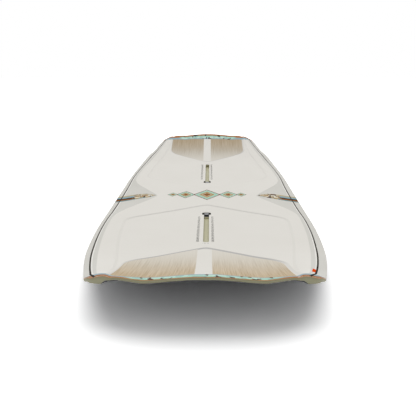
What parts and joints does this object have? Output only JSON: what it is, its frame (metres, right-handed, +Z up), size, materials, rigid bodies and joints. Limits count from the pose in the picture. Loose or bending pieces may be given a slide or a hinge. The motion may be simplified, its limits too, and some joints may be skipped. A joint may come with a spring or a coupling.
{
  "type": "wakeboard",
  "caption": "Twin-tip wakeboard with a stepped deck, contoured tips, centreline T-slot binding tracks with sliding nuts, and bolt-on corner fins.",
  "frame": {"origin": "on the ground under the middle of the board, at the bottom of the flat base", "axes": "+Z up out of the deck, +Y along the board towards the tail, +X across it to the right"},
  "size_m": [0.43, 1.38, 0.0806],
  "materials": {
    "deck": "satin",
    "base": "gloss",
    "sidewall": "satin",
    "core_foam": "matte",
    "stringer_wood": "matte",
    "dense_foam": "matte",
    "track": "satin",
    "black_nylon": "satin",
    "steel": "satin",
    "brass": "satin"
  },
  "bodies": {
    "board": {"deck_skin": "deck", "nose_base_skin": "base", "middle_base_skin": "base", "tail_base_skin": "base", "sidewall": "sidewall", "core": "core_foam", "left_stringer": "stringer_wood", "right_stringer": "stringer_wood", "nose_track_block": "dense_foam", "tail_track_block": "dense_foam", "nose_track": "track", "tail_track": "track", "nose_left_fin": "black_nylon", "nose_left_fin_inserts": "brass", "nose_left_fin_screws": "steel", "nose_right_fin": "black_nylon", "nose_right_fin_inserts": "brass", "nose_right_fin_screws": "steel", "tail_left_fin": "black_nylon", "tail_left_fin_inserts": "brass", "tail_left_fin_screws": "steel", "tail_right_fin": "black_nylon", "tail_right_fin_inserts": "brass", "tail_right_fin_screws": "steel"},
    "nose_nut": {"nose_nut_carrier": "black_nylon", "nose_nut_bush": "steel"},
    "tail_nut": {"tail_nut_carrier": "black_nylon", "tail_nut_bush": "steel"}
  },
  "joints": [
    {"name": "nose_nut_slide", "type": "slide", "parent": "board", "child": "nose_nut", "axis": [0, -0.9994, 0.0347], "range_m": [0, 0.21]},
    {"name": "tail_nut_slide", "type": "slide", "parent": "board", "child": "tail_nut", "axis": [0, 0.9994, 0.0347], "range_m": [0, 0.21]}
  ]
}
